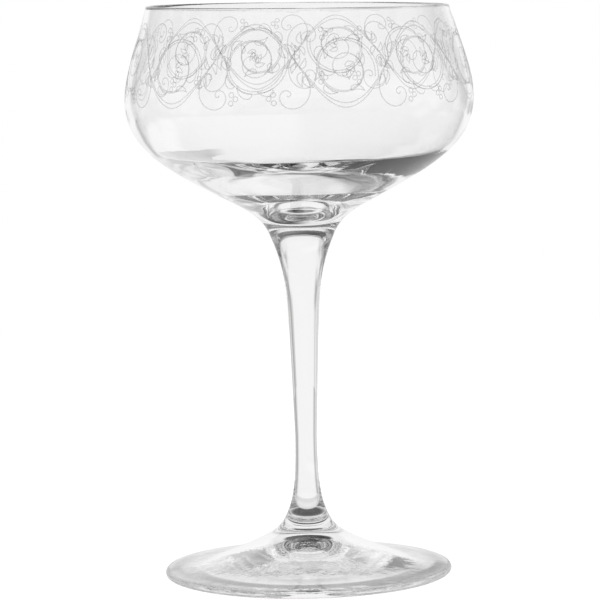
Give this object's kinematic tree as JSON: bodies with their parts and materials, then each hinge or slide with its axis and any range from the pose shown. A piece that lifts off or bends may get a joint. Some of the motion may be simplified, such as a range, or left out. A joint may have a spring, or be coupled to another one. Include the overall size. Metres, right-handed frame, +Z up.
{
  "type": "nick and nora glass",
  "caption": "Clear stemmed cocktail glass: a shallow blown bowl drawn in at the rim, a slender solid stem flared at both ends and a wide round foot with a hollow underside.",
  "frame": {"origin": "centre of the foot, on the table that the glass stands on", "axes": "+Z up along the axis of the glass, from the foot to the rim; X and Y are any two square directions across it"},
  "size_m": [0.094, 0.094, 0.154],
  "materials": {
    "clear_glass": "fire-polished clear crystal glass"
  },
  "bodies": {
    "root": {"bowl": "clear_glass", "stem": "clear_glass", "foot": "clear_glass"}
  },
  "joints": []
}
